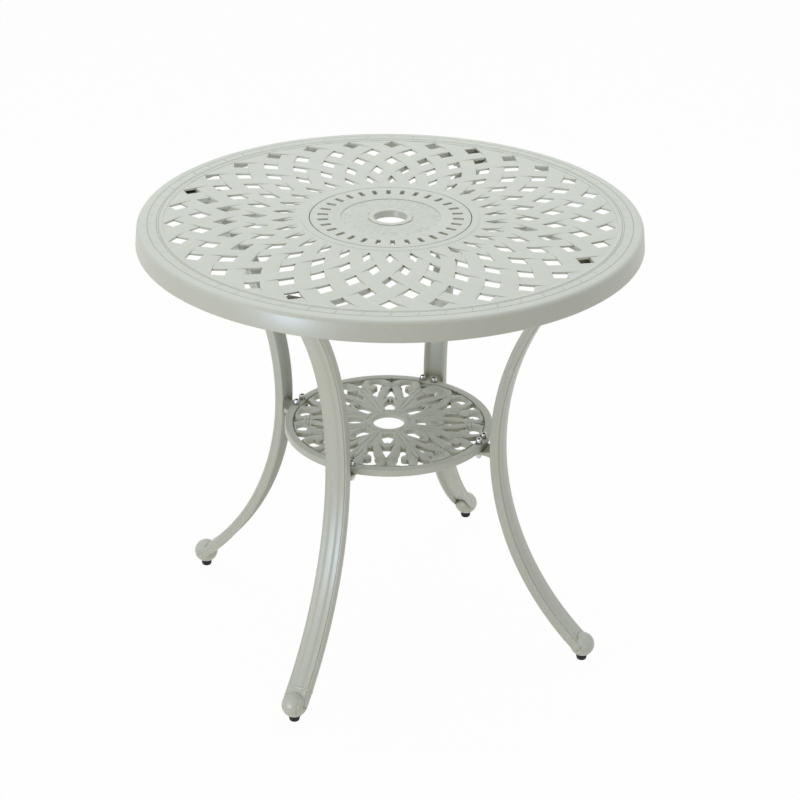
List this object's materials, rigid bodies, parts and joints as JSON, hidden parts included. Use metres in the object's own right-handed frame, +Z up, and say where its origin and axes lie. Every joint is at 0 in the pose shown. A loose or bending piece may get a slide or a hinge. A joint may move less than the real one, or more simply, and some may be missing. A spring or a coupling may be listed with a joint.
{
  "type": "umbrella table",
  "caption": "Round cast-metal patio table with a woven lattice top, umbrella-pole holes in a lift-out centre disc and a scrollwork shelf, and splayed curved legs.",
  "frame": {"origin": "on the floor, under the middle of the round top", "axes": "+Z up; the legs stand on +X, +Y, -X and -Y"},
  "size_m": [0.8, 0.8, 0.73],
  "materials": {
    "powder_coat": "pale sage-white satin powder coat on cast aluminium",
    "bright_steel": "zinc-plated screws, washers and nuts",
    "black_plastic": "black moulded glides"
  },
  "bodies": {
    "table_frame": {"table_top": "powder_coat", "shelf": "powder_coat", "leg_1": "powder_coat", "leg_2": "powder_coat", "leg_3": "powder_coat", "leg_4": "powder_coat", "top_bolt_1": "bright_steel", "top_bolt_2": "bright_steel", "top_bolt_3": "bright_steel", "top_bolt_4": "bright_steel", "top_bolt_5": "bright_steel", "top_bolt_6": "bright_steel", "top_bolt_7": "bright_steel", "top_bolt_8": "bright_steel", "top_washer_1": "bright_steel", "top_washer_2": "bright_steel", "top_washer_3": "bright_steel", "top_washer_4": "bright_steel", "top_washer_5": "bright_steel", "top_washer_6": "bright_steel", "top_washer_7": "bright_steel", "top_washer_8": "bright_steel", "shelf_screw_1": "bright_steel", "shelf_screw_2": "bright_steel", "shelf_screw_3": "bright_steel", "shelf_screw_4": "bright_steel", "shelf_screw_5": "bright_steel", "shelf_screw_6": "bright_steel", "shelf_screw_7": "bright_steel", "shelf_screw_8": "bright_steel", "shelf_washer_1": "bright_steel", "shelf_washer_2": "bright_steel", "shelf_washer_3": "bright_steel", "shelf_washer_4": "bright_steel", "shelf_washer_5": "bright_steel", "shelf_washer_6": "bright_steel", "shelf_washer_7": "bright_steel", "shelf_washer_8": "bright_steel", "shelf_cap_nut_1": "bright_steel", "shelf_cap_nut_2": "bright_steel", "shelf_cap_nut_3": "bright_steel", "shelf_cap_nut_4": "bright_steel", "shelf_cap_nut_5": "bright_steel", "shelf_cap_nut_6": "bright_steel", "shelf_cap_nut_7": "bright_steel", "shelf_cap_nut_8": "bright_steel"},
    "disc": {"centre_disc": "powder_coat"},
    "foot_glide_1": {"glide_1": "black_plastic", "glide_stud_1": "bright_steel"},
    "foot_glide_2": {"glide_2": "black_plastic", "glide_stud_2": "bright_steel"},
    "foot_glide_3": {"glide_3": "black_plastic", "glide_stud_3": "bright_steel"},
    "foot_glide_4": {"glide_4": "black_plastic", "glide_stud_4": "bright_steel"}
  },
  "joints": [
    {"name": "disc_lift", "type": "slide", "parent": "table_frame", "child": "disc", "axis": [0, 0, 1], "range_m": [0, 0.05]},
    {"name": "glide_screw_1", "type": "slide", "parent": "table_frame", "child": "foot_glide_1", "axis": [0, 0, -1], "range_m": [0, 0.008]},
    {"name": "glide_screw_2", "type": "slide", "parent": "table_frame", "child": "foot_glide_2", "axis": [0, 0, -1], "range_m": [0, 0.008]},
    {"name": "glide_screw_3", "type": "slide", "parent": "table_frame", "child": "foot_glide_3", "axis": [0, 0, -1], "range_m": [0, 0.008]},
    {"name": "glide_screw_4", "type": "slide", "parent": "table_frame", "child": "foot_glide_4", "axis": [0, 0, -1], "range_m": [0, 0.008]}
  ]
}
